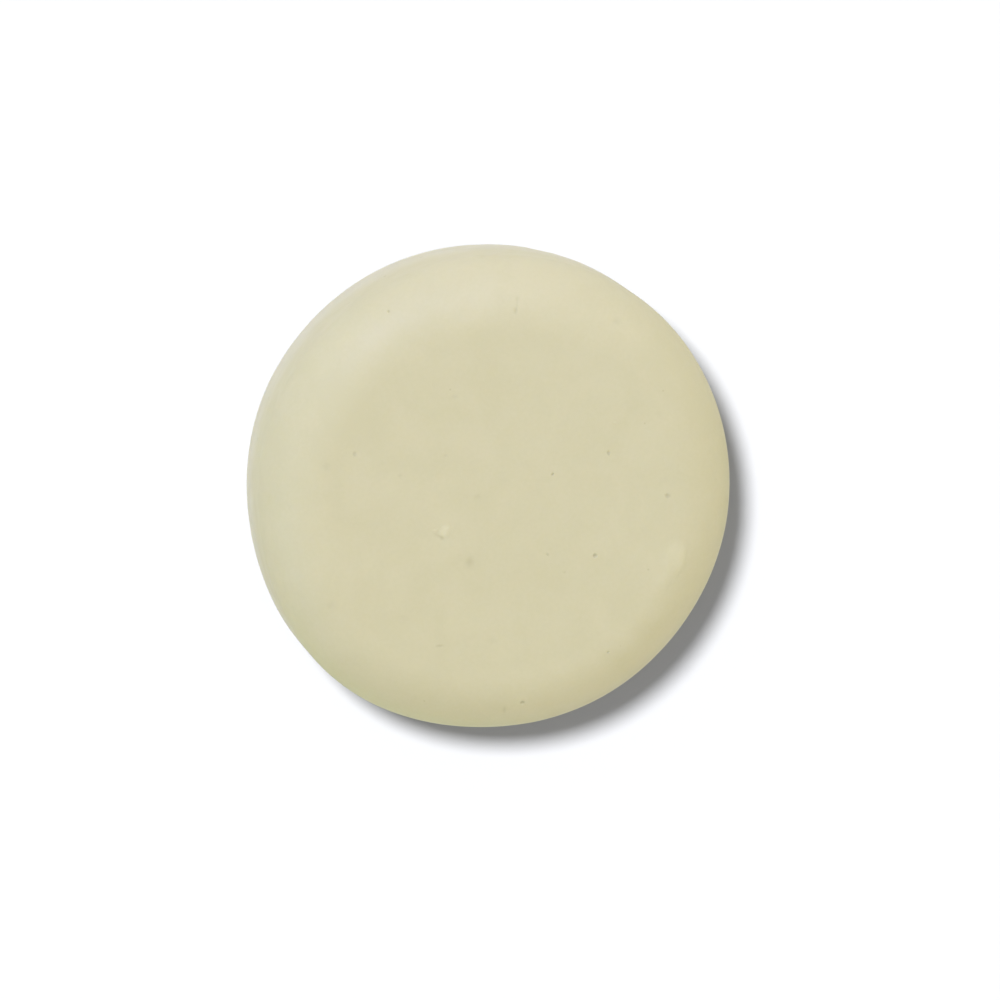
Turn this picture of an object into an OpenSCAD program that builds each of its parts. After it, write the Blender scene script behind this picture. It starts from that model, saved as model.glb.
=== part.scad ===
// Shaving soap puck: one solid cake of soap, poured in a round mould, for a shaving mug or bowl.
// It stands on its flat poured back. The face with the broad rounded shoulder lay in the
// bottom of the mould and is used upwards, so it carries the brush.
// Frame: origin at the centre of the resting face, +Z up, millimetres.

/* [Puck] */
// Diameter across the side wall
puck_d = 64; // [52:1:80]
// Thickness, from the resting face to the crest of the moulded face
puck_h = 24; // [18:1:34]

/* [Moulded face] */
// Radius of the broad rounded shoulder
shoulder_r = 8; // [4:0.5:12]
// Depth of the shallow hollow that the soap leaves as it shrinks
hollow_depth = 0.2; // [0.1:0.05:0.6]
// Width of the level crest between the shoulder and the hollow
crest_w = 2; // [1:0.5:5]

/* [Poured back] */
// Radius of the softened edge around the resting face
back_edge_r = 1.6; // [0.6:0.2:3]

/* [Hidden] */

puck_r = puck_d / 2;
crest_r = puck_r - shoulder_r;        // where the shoulder meets the moulded face
shoulder_z = puck_h - shoulder_r;     // where the shoulder meets the side wall
hollow_r = crest_r - crest_w;         // outer radius of the hollow
// Radius of the hollow's spherical floor, from its width and its depth
hollow_curve_r = (hollow_r ^ 2 + hollow_depth ^ 2) / (2 * hollow_depth);

round_fn = 180;    // facets around the puck and its rounded edges
hollow_fn = 2400;  // facets around the much larger circle of the hollow's floor

// Quarter of a disc, between +X and +Y
module quarter_disc(r) {
    intersection() {
        circle(r = r, $fn = round_fn);
        square(r);
    }
}

// Half of the cross-section, from the axis outwards, before the hollow is taken out
module half_section() {
    square([puck_r - back_edge_r, shoulder_z]);
    translate([0, back_edge_r])
        square([puck_r, shoulder_z - back_edge_r]);
    square([crest_r, puck_h]);
    translate([crest_r, shoulder_z])
        quarter_disc(shoulder_r);
    translate([puck_r - back_edge_r, back_edge_r])
        mirror([0, 1])
            quarter_disc(back_edge_r);
}

// The whole cake, turned about its axis
module soap_puck() {
    color("#D6D0AF")
        rotate_extrude($fn = round_fn)
            difference() {
                half_section();
                translate([0, puck_h - hollow_depth + hollow_curve_r])
                    circle(r = hollow_curve_r, $fn = hollow_fn);
            }
}

soap_puck();
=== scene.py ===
"""Looks of the shaving soap puck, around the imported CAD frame.

Lengths are in millimetres until a mesh is made, unless a comment says metres.
"""

import math
import random

import bpy
import numpy as np
from mathutils import Matrix, Vector, noise
from mathutils.geometry import delaunay_2d_cdt

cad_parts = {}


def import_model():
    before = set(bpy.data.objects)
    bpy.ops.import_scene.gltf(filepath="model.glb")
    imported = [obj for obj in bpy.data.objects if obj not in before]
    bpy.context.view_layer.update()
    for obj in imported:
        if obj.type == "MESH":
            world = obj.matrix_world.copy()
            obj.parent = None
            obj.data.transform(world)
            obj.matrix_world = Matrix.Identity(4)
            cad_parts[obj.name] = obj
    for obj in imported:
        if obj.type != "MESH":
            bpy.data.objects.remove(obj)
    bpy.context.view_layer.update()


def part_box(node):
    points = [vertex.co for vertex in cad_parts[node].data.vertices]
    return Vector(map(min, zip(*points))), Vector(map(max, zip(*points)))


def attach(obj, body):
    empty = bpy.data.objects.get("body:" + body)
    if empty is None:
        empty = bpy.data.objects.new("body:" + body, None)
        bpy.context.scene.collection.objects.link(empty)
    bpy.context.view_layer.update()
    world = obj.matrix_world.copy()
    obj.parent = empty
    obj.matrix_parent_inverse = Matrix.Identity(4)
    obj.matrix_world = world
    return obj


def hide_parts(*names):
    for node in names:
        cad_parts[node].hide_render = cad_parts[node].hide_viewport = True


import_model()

MM = 0.001
low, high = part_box("soap_puck")
PUCK_R = (high.x - low.x) / 2 / MM
PUCK_H = (high.z - low.z) / MM
SHOULDER = 8.0      # height of the rounded shoulder, and its usual width
BACK_EDGE = 1.6     # radius of the edge around the resting face

# Distances along the section, from the middle of the moulded face out over the shoulder and down the wall.
# The front of the puck is drawn on a flat round sheet with these distances as its radius, and then bent over.
FACE_END = PUCK_R - SHOULDER
SHOULDER_END = FACE_END + SHOULDER * math.pi / 2
WALL_END = SHOULDER_END + PUCK_H - SHOULDER - BACK_EDGE
SHEET_END = WALL_END + BACK_EDGE * math.pi / 2
BACK_R = PUCK_R - BACK_EDGE


# ---------------------------------------------------------------- outline and section

# Waves round the puck, as a cake comes from a soft mould: (how many, share of the size, direction in degrees)
OUTLINE_MEAN = 0.993
OUTLINE_WAVES = ((2, 0.017, 47), (3, 0.0041, -1), (4, 0.0048, 47), (5, 0.002, 11), (6, 0.002, 48))
SHOULDER_MEAN = 1.066
SHOULDER_WAVES = ((1, 0.14, 97), (2, 0.026, 75), (3, 0.018, 16))


def waves(mean, parts, angle):
    return mean * (1 + sum(size * np.cos(n * (angle - math.radians(turn))) for n, size, turn in parts))


def section(s, angle):
    """Radius, height and the normal's tilt from +Z at distance s along the section, without fine detail."""
    edge = PUCK_R * waves(OUTLINE_MEAN, OUTLINE_WAVES, angle)
    width = SHOULDER * waves(SHOULDER_MEAN, SHOULDER_WAVES, angle)
    tilt = np.clip((s - FACE_END) / (SHOULDER_END - FACE_END), 0, 1) * math.pi / 2
    radius = np.minimum(s / FACE_END, 1) * (edge - width) + width * np.sin(tilt)
    down = np.clip((s - SHOULDER_END) / (WALL_END - SHOULDER_END), 0, 1)
    height = PUCK_H - SHOULDER * (1 - np.cos(tilt)) - down * (PUCK_H - SHOULDER - BACK_EDGE)
    turn = np.clip((s - WALL_END) / (SHEET_END - WALL_END), 0, 1) * math.pi / 2
    return radius - BACK_EDGE * (1 - np.cos(turn)), height - BACK_EDGE * np.sin(turn), tilt + turn


def smooth(x, start, end):
    """From 0 at start to 1 at end, with soft ends."""
    t = np.clip((x - start) / (end - start), 0, 1)
    return t * t * (3 - 2 * t)


def bumps(points, size, seed):
    """Smooth noise from -1 to 1 over points in millimetres, with lumps about size across."""
    shift = Vector((seed * 17.3, seed * 5.1, seed * 9.7))
    return np.array([noise.noise(Vector(p) / size + shift) for p in points])


# ---------------------------------------------------------------- blemishes

# (across, up, half-length, half-width, direction in degrees, depth, sharpness)
# Places are on the sheet, from the middle of the moulded face. A negative depth stands proud.
# Sharpness 1 is a soft hollow, and more is steeper.
PINHOLES = (
    (12.7, -7.9, 0.27, 0.24, 80, 0.12, 1.5),
    (7.2, 3.2, 0.20, 0.15, 60, 0.11, 1.5),
    (14.9, 6.0, 0.30, 0.22, 100, 0.08, 1.5),
    (22.8, 0.0, 0.34, 0.31, 0, 0.09, 1.5),
    (-20.6, 6.6, 0.34, 0.24, 95, 0.06, 1.5),
    (6.3, -7.6, 0.22, 0.16, 120, 0.055, 1.5),
    (8.6, -10.0, 0.20, 0.16, 0, 0.04, 1),
    (-15.5, 26.3, 0.20, 0.16, 110, 0.09, 1.5),
    (2.2, 26.4, 0.36, 0.25, 90, 0.06, 1.5),
    (3.1, -27.95, 0.28, 0.26, 0, 0.14, 1.5),
    (14.5, -20.9, 0.20, 0.16, 30, 0.09, 1.5),
)
HOLLOWS = (
    (-4.0, -8.3, 0.60, 0.48, 90, 0.065, 1),
    (-3.15, 0.2, 0.45, 0.38, 0, 0.035, 1),
    (2.5, 27.8, 0.30, 0.26, 0, 0.03, 1),
    (16.0, 23.8, 0.55, 0.40, 0, 0.03, 1),
    (-24.3, 4.8, 0.65, 0.50, 90, 0.03, 1),
    (-14.1, 3.4, 0.30, 0.24, 0, 0.03, 1),
    (-8.0, 6.3, 0.28, 0.24, 0, 0.03, 1),
    (-6.8, 15.0, 0.50, 0.35, 0, 0.03, 1),
    (-12.4, -15.2, 0.50, 0.40, 0, 0.02, 1),
    (-22.3, -13.7, 0.50, 0.40, 0, 0.03, 1),
    (-1.1, -18.9, 0.60, 0.45, 0, 0.02, 1),
    (21.8, 11.3, 0.45, 0.35, 0, 0.02, 1),
)
SCRATCHES = (
    (2.4, 27.1, 0.60, 0.14, 85, 0.025, 1),
    (-8.0, -19.2, 0.40, 0.18, 0, 0.06, 1),
    (0.7, -29.1, 0.65, 0.22, 90, 0.045, 1),
    (-8.2, -4.85, 0.62, 0.18, -23, 0.035, 1),
    (-7.65, -5.1, 0.32, 0.22, -10, 0.06, 1),
    (25.3, -8.4, 1.60, 0.14, 84, 0.020, 1),
    (24.4, -10.6, 0.90, 0.14, 54, 0.022, 1),
    (22.9, -12.1, 1.20, 0.20, 60, 0.012, 1),
)
RAISED = (
    (-7.3, -4.3, 0.75, 0.64, 50, -0.10, 2),
    (-8.6, -4.1, 0.42, 0.20, 15, -0.05, 1),
    (-6.9, -3.8, 0.36, 0.30, 0, -0.04, 1),
    (23.6, -8.4, 2.10, 1.60, 82, -0.075, 3),
    (24.5, -8.3, 1.75, 0.55, 84, -0.05, 2),
    (22.0, -11.3, 1.50, 0.80, 60, -0.03, 2),
    (15.2, -3.0, 1.30, 0.34, -65, -0.015, 1),
    (16.1, -5.4, 1.10, 0.34, -80, -0.015, 1),
    (-5.7, 15.0, 2.20, 0.20, 90, -0.012, 1),
    (15.8, 10.2, 0.22, 0.20, 0, -0.04, 1),
    (-24.3, -10.5, 0.34, 0.30, 0, -0.05, 1),
)

# Directions in degrees. From WALL_START to SIDE_START the wall has large bubbles and knocks, and beyond that
# it has small bubbles only.
WALL_START, SIDE_START = -160, 95
WALL_BUBBLES = 46
KNOCKS = 9
BACK_BUBBLES = 44


def round_wall(angle, s, long, wide, depth, sharpness):
    """A mark on the wall with its length running round the puck."""
    a = math.radians(angle)
    return (s * math.cos(a), s * math.sin(a), long, wide, angle + 90, depth, sharpness)


def wall_bubbles():
    """Air bubbles in the side wall."""
    draw = random.Random(11)
    marks = []
    for _ in range(WALL_BUBBLES):
        angle, s = draw.uniform(WALL_START, WALL_START + 360), draw.uniform(SHOULDER_END + 1, WALL_END)
        half = draw.uniform(0.11, 0.36) * (0.65 if angle > SIDE_START else 1)
        marks.append(round_wall(angle, s, half * s / PUCK_R, half, half * draw.uniform(0.3, 0.6), 1.5))
    return tuple(marks)


def knocks():
    """Small dents in the edge round the resting face."""
    draw = random.Random(5)
    marks = []
    for _ in range(KNOCKS):
        angle, s = draw.uniform(WALL_START, SIDE_START), WALL_END + draw.uniform(0.4, 1.4)
        long, wide, depth = draw.uniform(0.9, 3.0), draw.uniform(0.5, 0.9), draw.uniform(0.15, 0.35)
        marks.append(round_wall(angle, s, long, wide, depth, 1.2))
    return tuple(marks)


def back_marks():
    """Burst bubbles on the resting face, which was the open top of the pour. They crowd towards its rim."""
    draw = random.Random(23)
    marks = []
    for _ in range(BACK_BUBBLES):
        angle, r = draw.uniform(0, 2 * math.pi), 27.5 * draw.uniform(0, 1) ** 0.35
        half = 0.16 + 0.5 * draw.uniform(0, 1) ** 3
        marks.append((r * math.cos(angle), r * math.sin(angle), half, half * draw.uniform(0.75, 1),
                      draw.uniform(0, 180), half * draw.uniform(0.3, 0.55), 1.5))
    return tuple(marks)


# Marks that get painted shade in their holes and a paler colour where they stand proud; the knocks get
# neither
MARKS_WITH_PAINTED_SHADE = PINHOLES + HOLLOWS + SCRATCHES + RAISED + wall_bubbles()
FRONT_MARKS = MARKS_WITH_PAINTED_SHADE + knocks()
BACK_MARKS = back_marks()


def sizes_from(mark, u, v):
    """Distance of (u, v) from the middle of a mark, in half-sizes of the mark."""
    x, y, long, wide, turn = mark[:5]
    c, s = math.cos(math.radians(turn)), math.sin(math.radians(turn))
    du, dv = u - x, v - y
    return np.hypot((du * c + dv * s) / long, (dv * c - du * s) / wide)


def mark_depth(marks, u, v):
    """How far the marks push the surface in at (u, v)."""
    depth = np.zeros(len(u))
    for mark in marks:
        depth += mark[5] * np.exp(-sizes_from(mark, u, v) ** (2 * mark[6]))
    return depth


# ---------------------------------------------------------------- points and faces

STEP = 0.55          # distance between points where nothing small happens
MARK_GAP = 0.26      # distance between the rings of points over a mark, in half-sizes of the mark
MARK_EDGE = 1.7      # how far out the rings stay that close, in half-sizes
MARK_SPREAD = 1.3    # how much wider each gap is than the one before it, beyond that


def ring(radius, count, start=0.0):
    angles = start + np.arange(count) * 2 * math.pi / count
    return np.stack([radius * np.cos(angles), radius * np.sin(angles)], 1)


def disc_points(end):
    """Points in rings about the origin, STEP apart, with the ring at end last, and how many that ring has."""
    rings = round(end / STEP)
    parts = [np.zeros((1, 2))]
    for i in range(rings):
        radius = end * (i + 1) / rings
        count = max(6, round(2 * math.pi * radius / STEP))
        parts.append(ring(radius, count, i % 2 * math.pi / count))
    return np.vstack(parts), len(parts[-1])


def mark_points(mark):
    """Rings close together over a mark, opening out to STEP around it, and their reach in half-sizes."""
    x, y, long, wide, turn = mark[:5]
    parts, reach, gap = [np.zeros((1, 2))], 0.0, MARK_GAP
    while gap * math.sqrt(long * wide) < STEP:
        reach += gap
        parts.append(ring(reach, max(6, round(2 * math.pi * reach / gap)), reach * 7))
        gap *= MARK_SPREAD if reach > MARK_EDGE else 1
    points = np.vstack(parts) * (long, wide)
    c, s = math.cos(math.radians(turn)), math.sin(math.radians(turn))
    return points @ np.array([[c, s], [-s, c]]) + (x, y), reach


def points_with_marks(end, marks):
    """Points over a disc, finer around the marks, and how many points the last ring has."""
    base, ring_n = disc_points(end)
    inner, edge = base[:-ring_n], base[-ring_n:]
    patches = [mark_points(mark) for mark in marks]
    for mark, (_, reach) in zip(marks, patches):
        inner = inner[sizes_from(mark, inner[:, 0], inner[:, 1]) > reach]
    kept = [inner]
    for i, (points, reach) in enumerate(patches):
        u, v = points[:, 0], points[:, 1]
        keep = np.hypot(u, v) < end - STEP / 2
        own = sizes_from(marks[i], u, v) / reach
        for j, other in enumerate(marks):
            if j != i:
                keep &= sizes_from(other, u, v) / patches[j][1] > np.minimum(own, 1)
        kept.append(points[keep])
    return np.vstack(kept + [edge]), ring_n


def triangulate(points):
    _, _, faces, origin, _, _ = delaunay_2d_cdt([Vector(p) for p in points], [], [], 0, 1e-7)
    index = [o[0] for o in origin]
    return [tuple(index[i] for i in f) for f in faces]


# ---------------------------------------------------------------- surface relief

FACE_HOLLOW, FACE_HOLLOW_R = 0.18, 22    # depth and radius of the shrinkage hollow in the moulded face
SINK = 0.09                              # keeps what stands proud inside the CAD's size

BACK_HOLLOW = 0.30                       # depth of the hollow in the resting face
RIPPLE, RIPPLE_APART = 0.028, 5.2        # height and spacing of the ripples left by the pour
RIPPLE_X, RIPPLE_Y = -7, 4               # where the ripples spread from


def front_shape(points):
    """Places of the sheet's points once it is bent over the puck."""
    u, v = points[:, 0], points[:, 1]
    s, angle = np.hypot(u, v), np.arctan2(v, u)
    radius, height, tilt = section(s, angle)
    base = np.stack([radius * np.cos(angle), radius * np.sin(angle), height], 1)
    normal = np.stack([np.sin(tilt) * np.cos(angle), np.sin(tilt) * np.sin(angle), np.cos(tilt)], 1)
    depth = mark_depth(FRONT_MARKS, u, v)
    hollow = FACE_HOLLOW * np.clip(1 - (s / FACE_HOLLOW_R) ** 2, 0, 1) ** 2
    sway = 0.05 * bumps(base, 19, 1) + 0.018 * bumps(base, 6, 2) + 0.004 * bumps(base, 2.2, 3)
    shrink_lines = 0.007 * bumps(base * (0.2, 0.2, 1), 2.4, 4) * smooth(s, SHOULDER_END - 3, SHOULDER_END + 3)
    push = (sway + shrink_lines - depth - hollow - SINK) * np.clip((SHEET_END - s) / 2, 0, 1)
    return base + normal * push[:, None]


def back_shape(points, edge):
    """Places of the resting face's points, stretched to meet the edge, and how deep the marks are there."""
    x, y = points[:, 0], points[:, 1]
    angle, r = np.arctan2(y, x), np.hypot(x, y)
    edge_angle, edge_r = np.arctan2(edge[:, 1], edge[:, 0]), np.hypot(edge[:, 0], edge[:, 1])
    order = np.argsort(edge_angle)
    meet = np.interp(angle, edge_angle[order], edge_r[order], period=2 * math.pi)
    stretch = 1 + (meet / BACK_R - 1) * (r / BACK_R) ** 2
    flat = np.stack([x, y, np.zeros(len(x))], 1)
    inside = 1 - smooth(r, BACK_R - 7, BACK_R - 2)
    away = np.hypot(x - RIPPLE_X, y - RIPPLE_Y) + 2.2 * bumps(flat, 11, 5)
    ripples = RIPPLE * np.sin(2 * math.pi * away / RIPPLE_APART)
    lumps = 0.06 * bumps(flat, 14, 6) + 0.02 * bumps(flat, 3.5, 7)
    depth = mark_depth(BACK_MARKS, x, y)
    hollow = BACK_HOLLOW * np.clip(1 - (r / (BACK_R - 2)) ** 2, 0, 1) ** 0.8
    z = hollow + (ripples + lumps) * inside + depth
    return np.stack([x * stretch, y * stretch, np.maximum(z, 0)], 1), depth


# ---------------------------------------------------------------- stains, and painted light and shade

# Painted light and shade on the rim, varying round the puck: painted shade on the lower right, away from the
# lamps, a painted green bounce light that also darkens the lower left a little, and painted light on the lit
# upper-left side.
# Each is (middle and half-width in degrees, where along the section the tint starts, is full, starts to fade
# and is gone, colour)
PAINTED_RIM_LIGHT_AND_SHADE = (
    # painted shade on the lower-right rim, the side away from the lamps
    (-34, 72, 30.5, 34.0, 36.0, 49.0, (0.92, 0.927, 0.888)),
    # painted green bounce light on the lower-left rim, a little darker as well
    (246, 50, 29.5, 35.0, 35.5, 45.0, (0.95, 0.985, 0.885)),
    # painted light on the outer upper-left shoulder and wall, the side the lamps light
    (125, 95, 34.0, 38.0, 60.0, 61.0, (1.035, 1.035, 1.02)),
)
WALL_BLOOM_START, WALL_BLOOM_FULL = 41, 48    # where along the section the bloom low on the wall sets in
WALL_BLOOM = (0.04, 0.053, 0.20)              # how much brighter each colour is under it
BACK_BLOOM = (0.07, 0.08, 0.16)

HOLE_DEPTH = 0.5                              # depth at which a hole gets the whole painted shade
HOLE_MOST = 0.6                               # the most of the painted shade that a hole gets
HOLE_PAINTED_SHADE = (0.80, 0.82, 0.92)                # painted shade in holes: how much of each colour is lost
CRUMB_HEIGHT = 0.1                            # height at which a raised crumb is palest
CRUMB_PALE = (0.05, 0.055, 0.07)              # how much brighter each colour is there


def mark_painted_shade_and_crumbs(depth):
    """Colour factor of the marks: painted shade in holes, and a paler colour on raised crumbs."""
    painted_shade = 1 - np.clip(depth / HOLE_DEPTH, 0, HOLE_MOST)[:, None] * HOLE_PAINTED_SHADE
    return painted_shade * (1 + np.clip(-depth / CRUMB_HEIGHT, 0, 1)[:, None] * CRUMB_PALE)


def front_stain_and_painted_shading(points):
    """Colour that the soap's own colour is multiplied by: painted light and shade on the rims, a bloom low on
    the wall, and marks with painted shade in their holes.
    """
    s, angle = np.hypot(points[:, 0], points[:, 1]), np.arctan2(points[:, 1], points[:, 0])
    stain_and_painted_shading = np.ones((len(points), 3))
    # painted light and shade on the rims
    for middle, half, start, full, fade, gone, colour in PAINTED_RIM_LIGHT_AND_SHADE:
        away = np.abs((np.degrees(angle) - middle + 180) % 360 - 180)
        share = smooth(s, start, full) * (1 - smooth(s, fade, gone)) * (1 - smooth(away, half / 3, half))
        stain_and_painted_shading *= 1 - share[:, None] * (1 - np.array(colour))
    on_wall = np.stack([PUCK_R * np.cos(angle), PUCK_R * np.sin(angle), s], 1)
    ragged = s + 1.8 * bumps(on_wall, 8, 10) + 0.6 * bumps(on_wall, 2.5, 11)
    stain_and_painted_shading *= 1 + smooth(ragged, WALL_BLOOM_START, WALL_BLOOM_FULL)[:, None] * WALL_BLOOM
    # the marks add painted shade in their holes
    return stain_and_painted_shading * mark_painted_shade_and_crumbs(mark_depth(MARKS_WITH_PAINTED_SHADE, points[:, 0], points[:, 1]))


def back_bloom_and_painted_shade(points, depth):
    """The poured face is a little drier, with a faint white bloom in patches, and painted shade in the holes
    of its marks.
    """
    flat = np.stack([points[:, 0], points[:, 1], np.zeros(len(points))], 1)
    bloom = smooth(bumps(flat, 13, 8) + 0.4 * bumps(flat, 4, 9), -0.1, 0.6)
    return (1 + bloom[:, None] * BACK_BLOOM) * mark_painted_shade_and_crumbs(depth)


# ---------------------------------------------------------------- the puck

def build_puck():
    front, ring_n = points_with_marks(SHEET_END, FRONT_MARKS)
    front_places = front_shape(front)
    edge_ring = ring(BACK_R, ring_n, math.atan2(front[-ring_n, 1], front[-ring_n, 0]))
    back_inner, _ = points_with_marks(BACK_R - STEP, BACK_MARKS)
    back_places, back_depth = back_shape(back_inner, front_places[-ring_n:])
    first_edge = len(front) - ring_n
    index = [len(front) + i for i in range(len(back_inner))] + [first_edge + i for i in range(ring_n)]
    back_faces = triangulate(np.vstack([back_inner, edge_ring]))
    faces = triangulate(front) + [tuple(index[i] for i in reversed(face)) for face in back_faces]
    mesh = bpy.data.meshes.new("soap_puck_body")
    mesh.from_pydata([tuple(p) for p in np.vstack([front_places, back_places]) * MM], [], faces)
    mesh.validate()
    mesh.polygons.foreach_set("use_smooth", [True] * len(mesh.polygons))
    # stains, with painted light and shade on the rims and in the holes, kept on the mesh
    stain_and_painted_shading = np.vstack([front_stain_and_painted_shading(front), back_bloom_and_painted_shade(back_inner, back_depth)])
    colours = mesh.attributes.new("stain_and_painted_shading", "FLOAT_COLOR", "POINT")
    colours.data.foreach_set("color", np.hstack([stain_and_painted_shading, np.ones((len(stain_and_painted_shading), 1))]).ravel())
    made = bpy.data.objects.new("soap_puck_body", mesh)
    bpy.context.scene.collection.objects.link(made)
    return made


# ---------------------------------------------------------------- material

SOAP_DARK = (0.569, 0.518, 0.299, 1)
SOAP_LIGHT = (0.593, 0.539, 0.320, 1)
FLECK = (0.44, 0.39, 0.20, 1)

# Sockets of the Mix node when it mixes colours
MIX_SHARE, MIX_FIRST, MIX_SECOND, MIXED = 0, 6, 7, 2


def add_node(nodes, kind, **inputs):
    """A new shader node with its inputs set by name, where _ stands for a space."""
    made = nodes.new("ShaderNode" + kind)
    for name, value in inputs.items():
        made.inputs[name.replace("_", " ")].default_value = value
    return made


def add_colour_mix(nodes, blend_type):
    made = nodes.new("ShaderNodeMix")
    made.data_type, made.blend_type = "RGBA", blend_type
    return made


def soap_tones(nodes, link, noises):
    """Soap colour from a weighted sum of noises, each given as (node, share)."""
    shade = None
    for noise_node, share in noises:
        scaled = nodes.new("ShaderNodeMath")
        scaled.operation = "MULTIPLY_ADD"
        scaled.inputs[1].default_value, scaled.inputs[2].default_value = share, 0
        link(noise_node.outputs["Fac"], scaled.inputs[0])
        if shade:
            link(shade, scaled.inputs[2])
        shade = scaled.outputs[0]
    tones = nodes.new("ShaderNodeValToRGB")
    for stop, position, colour in zip(tones.color_ramp.elements, (0.40, 0.60), (SOAP_DARK, SOAP_LIGHT)):
        stop.position, stop.color = position, colour
    link(shade, tones.inputs["Fac"])
    return tones.outputs["Color"]


def with_flecks(nodes, link, place, colour):
    """The colour with sparse flecks a quarter of a millimetre across."""
    cells = add_node(nodes, "TexVoronoi", Scale=210)
    link(place, cells.inputs["Vector"])
    fleck = add_node(nodes, "MapRange", From_Min=0.018, From_Max=0.034, To_Min=0.45, To_Max=0)
    link(cells.outputs["Distance"], fleck.inputs["Value"])
    flecked = add_colour_mix(nodes, "MIX")
    flecked.inputs[MIX_SECOND].default_value = FLECK
    link(fleck.outputs[0], flecked.inputs[MIX_SHARE])
    link(colour, flecked.inputs[MIX_FIRST])
    return flecked.outputs[MIXED]


def with_stain_and_painted_shading(nodes, link, colour):
    """The colour multiplied by the stains and the painted light and shade stored on the mesh."""
    stain_and_painted_shading = nodes.new("ShaderNodeAttribute")
    stain_and_painted_shading.attribute_name = "stain_and_painted_shading"
    stained_and_shaded = add_colour_mix(nodes, "MULTIPLY")
    stained_and_shaded.inputs[MIX_SHARE].default_value = 1
    link(colour, stained_and_shaded.inputs[MIX_FIRST])
    link(stain_and_painted_shading.outputs["Color"], stained_and_shaded.inputs[MIX_SECOND])
    return stained_and_shaded.outputs[MIXED]


def soap_material():
    mat = bpy.data.materials.new("soap")
    mat.use_nodes = True
    nodes, link = mat.node_tree.nodes, mat.node_tree.links.new
    shader = nodes["Principled BSDF"]
    shader.inputs["IOR"].default_value = 1.45
    shader.inputs["Subsurface Weight"].default_value = 0.4
    shader.inputs["Subsurface Radius"].default_value = (1.0, 0.8, 0.45)
    shader.inputs["Subsurface Scale"].default_value = 0.0012

    # Clouds of 25 mm, marbling of 6 mm, grain of half a millimetre and a skin between the last two
    clouds = add_node(nodes, "TexNoise", Scale=38, Detail=3)
    marbling = add_node(nodes, "TexNoise", Scale=170, Detail=4, Distortion=0.8)
    grain = add_node(nodes, "TexNoise", Scale=1900, Detail=2)
    skin = add_node(nodes, "TexNoise", Scale=620, Detail=3)
    place = nodes.new("ShaderNodeTexCoord").outputs["Object"]
    for noise_node in (clouds, marbling, grain, skin):
        link(place, noise_node.inputs["Vector"])

    tones = soap_tones(nodes, link, ((clouds, 0.40), (marbling, 0.38), (grain, 0.22)))
    link(with_stain_and_painted_shading(nodes, link, with_flecks(nodes, link, place, tones)), shader.inputs["Base Color"])

    # Satin, a little glossier where the marbling is pale
    gloss = add_node(nodes, "MapRange", From_Min=0.3, From_Max=0.7, To_Min=0.56, To_Max=0.44)
    link(marbling.outputs["Fac"], gloss.inputs["Value"])
    link(gloss.outputs[0], shader.inputs["Roughness"])

    skin_bump = add_node(nodes, "Bump", Strength=0.35, Distance=0.00004)
    link(skin.outputs["Fac"], skin_bump.inputs["Height"])
    grain_bump = add_node(nodes, "Bump", Strength=0.3, Distance=0.00002)
    link(grain.outputs["Fac"], grain_bump.inputs["Height"])
    link(skin_bump.outputs[0], grain_bump.inputs["Normal"])
    link(grain_bump.outputs[0], shader.inputs["Normal"])
    return mat


# ---------------------------------------------------------------- stage

FLOOR_DROP = 0.02      # gap that keeps the floor clear of the resting face
FLOOR_GREY = (0.411, 0.416, 0.434, 1)
STAGE_R = 2.5          # metres
STAGE_SIDES = 96
WHITE = (1, 1, 1)
WORLD_LIGHT = 0.6

# (name, degrees from the vertical, direction in degrees, strength, width in degrees, colour)
FLOOR_SUN = ("floor_key", 22.2, 135, 6.30, 9, WHITE)
SOAP_SUNS = (
    ("overhead", 0, 0, 1.10, 120, WHITE),
    ("side_fill", 60, 45, 0.471, 50, WHITE),
    ("low_fill", 86, 137, 0.40, 20, WHITE),
    ("sky_fill", 75, 200, 0.584, 40, (0.41, 0.64, 1.0)),
)

# The soft box that stands for the window. Its width and distance are in metres, and its strength is that of a
# sun that lights the middle of the puck as much.
WINDOW_ZENITH, WINDOW_AZIMUTH = 50, 115
WINDOW_STRENGTH = 1.53
WINDOW_COLOUR = (0.382, 0.456, 1.0)
WINDOW_W, WINDOW_AWAY = 0.25, 0.45


def stage_material(name, colour, glow=0):
    """A matt material without any sheen, which can glow white."""
    mat = bpy.data.materials.new(name)
    mat.use_nodes = True
    shader = mat.node_tree.nodes["Principled BSDF"]
    shader.inputs["Base Color"].default_value = colour
    shader.inputs["Roughness"].default_value = 0.9
    shader.inputs["Specular IOR Level"].default_value = 0.0
    shader.inputs["Emission Color"].default_value = (1, 1, 1, 1)
    shader.inputs["Emission Strength"].default_value = glow
    return mat


def floor():
    """A pale floor that runs a little past the backdrop."""
    bpy.ops.mesh.primitive_circle_add(vertices=STAGE_SIDES, radius=STAGE_R * 1.05, fill_type="NGON")
    made = bpy.context.object
    made.name = "floor"
    made.location.z = low.z - FLOOR_DROP * MM
    made.visible_glossy = False
    made.data.materials.append(stage_material("floor", FLOOR_GREY))
    return made


def backdrop():
    """A white wall round the floor that lights nothing."""
    bpy.ops.mesh.primitive_cylinder_add(
        vertices=STAGE_SIDES, radius=STAGE_R, depth=2 * STAGE_R, end_fill_type="NOTHING")
    wall = bpy.context.object
    wall.name = "backdrop"
    wall.visible_diffuse = wall.visible_glossy = wall.visible_transmission = wall.visible_shadow = False
    wall.data.materials.append(stage_material("backdrop", (0, 0, 0, 1), glow=1))


def towards(zenith, azimuth):
    """Unit vector at those degrees from +Z and, in plan, from +X towards +Y."""
    z, a = math.radians(zenith), math.radians(azimuth)
    return Vector((math.sin(z) * math.cos(a), math.sin(z) * math.sin(a), math.cos(z)))


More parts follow.
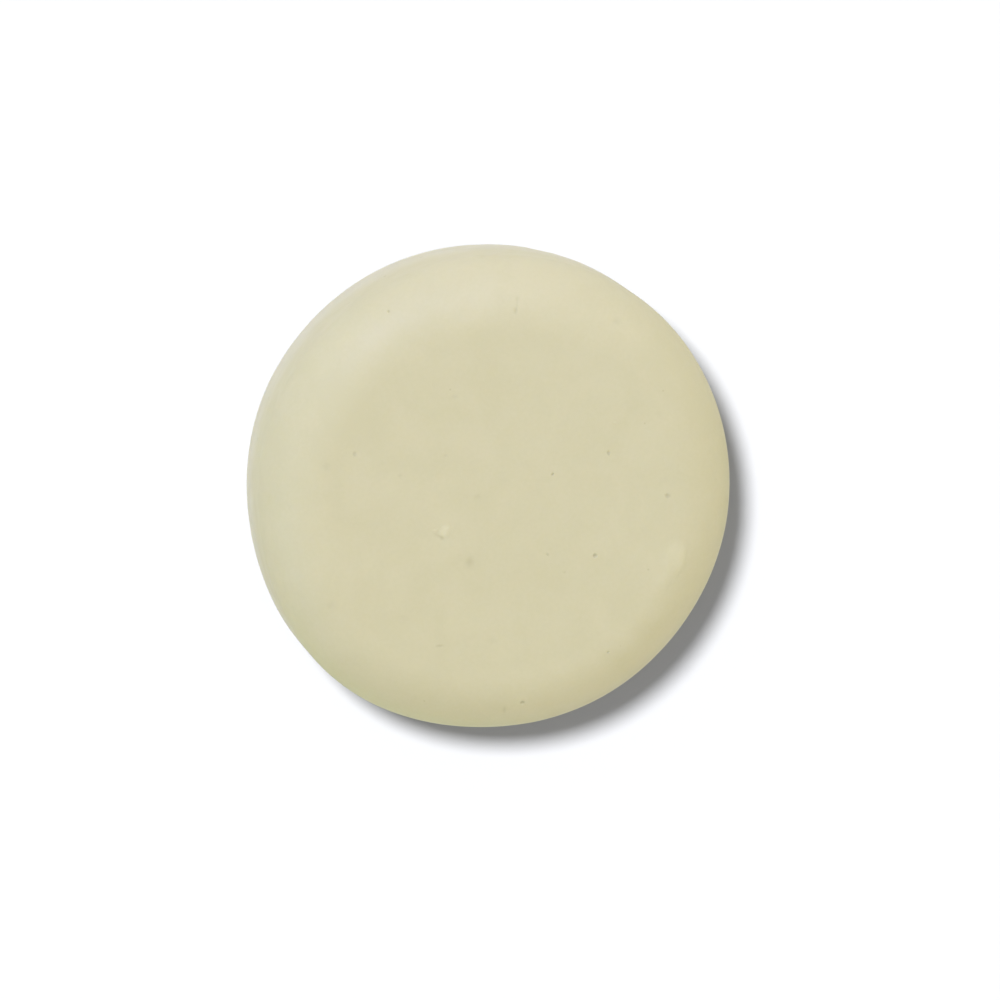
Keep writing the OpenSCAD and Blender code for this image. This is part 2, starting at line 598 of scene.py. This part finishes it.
def light(name, kind, zenith, azimuth, strength, colour, receivers):
    """A lamp that shines from that direction on the objects of the collection receivers only."""
    data = bpy.data.lights.new(name, kind)
    data.energy, data.color = strength, colour
    lamp = bpy.data.objects.new(name, data)
    lamp.rotation_euler = towards(zenith, azimuth).to_track_quat("Z", "Y").to_euler()
    lamp.visible_camera = False
    lamp.light_linking.receiver_collection = receivers
    bpy.context.scene.collection.objects.link(lamp)
    return lamp


def sun(name, zenith, azimuth, strength, width, colour, receivers):
    light(name, "SUN", zenith, azimuth, strength, colour, receivers).data.angle = math.radians(width)


def window(receivers):
    strength = WINDOW_STRENGTH * math.pi * WINDOW_AWAY ** 2
    lamp = light("window", "AREA", WINDOW_ZENITH, WINDOW_AZIMUTH, strength, WINDOW_COLOUR, receivers)
    lamp.data.shape, lamp.data.size = "DISK", WINDOW_W
    lamp.location = towards(WINDOW_ZENITH, WINDOW_AZIMUTH) * WINDOW_AWAY


def world():
    made = bpy.data.worlds.new("studio")
    made.use_nodes = True
    background = made.node_tree.nodes["Background"]
    background.inputs["Color"].default_value = (1, 1, 1, 1)
    background.inputs["Strength"].default_value = WORLD_LIGHT
    bpy.context.scene.world = made


def only(name, obj):
    """A collection that holds just obj, for lamps that light nothing else."""
    made = bpy.data.collections.new(name)
    made.objects.link(obj)
    return made


# ---------------------------------------------------------------- camera

CAMERA_TILT = 10       # degrees off the vertical
CAMERA_SIDE = 137      # direction it leans towards, in degrees from +X towards +Y
CAMERA_LENS, CAMERA_SENSOR = 400, 36
FRAME_W = 133.2        # width of the view at the middle of the puck
LOOK_RIGHT, LOOK_UP = 1.44, -1.61    # from the middle of the puck to the middle of the view


def camera():
    data = bpy.data.cameras.new("camera")
    data.lens, data.sensor_width = CAMERA_LENS, CAMERA_SENSOR
    back = towards(CAMERA_TILT, CAMERA_SIDE)
    right = Vector((0, 1, 0)).cross(back).normalized()
    up = back.cross(right)
    middle = Vector((0, 0, PUCK_H / 2)) + right * LOOK_RIGHT + up * LOOK_UP
    place = (middle + back * FRAME_W * CAMERA_LENS / CAMERA_SENSOR) * MM
    made = bpy.data.objects.new("camera", data)
    made.matrix_world = Matrix.Translation(place) @ Matrix((right, up, back)).transposed().to_4x4()
    bpy.context.scene.collection.objects.link(made)
    bpy.context.scene.camera = made


# ---------------------------------------------------------------- the scene

puck = build_puck()
puck.data.materials.append(soap_material())
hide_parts("soap_puck")
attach(puck, "root")

plate = floor()
backdrop()
world()
sun(*FLOOR_SUN, only("floor_light_receivers", plate))
on_soap = only("soap_light_receivers", puck)
for soap_sun in SOAP_SUNS:
    sun(*soap_sun, on_soap)
window(on_soap)
camera()
bpy.context.scene.view_settings.view_transform = "Standard"
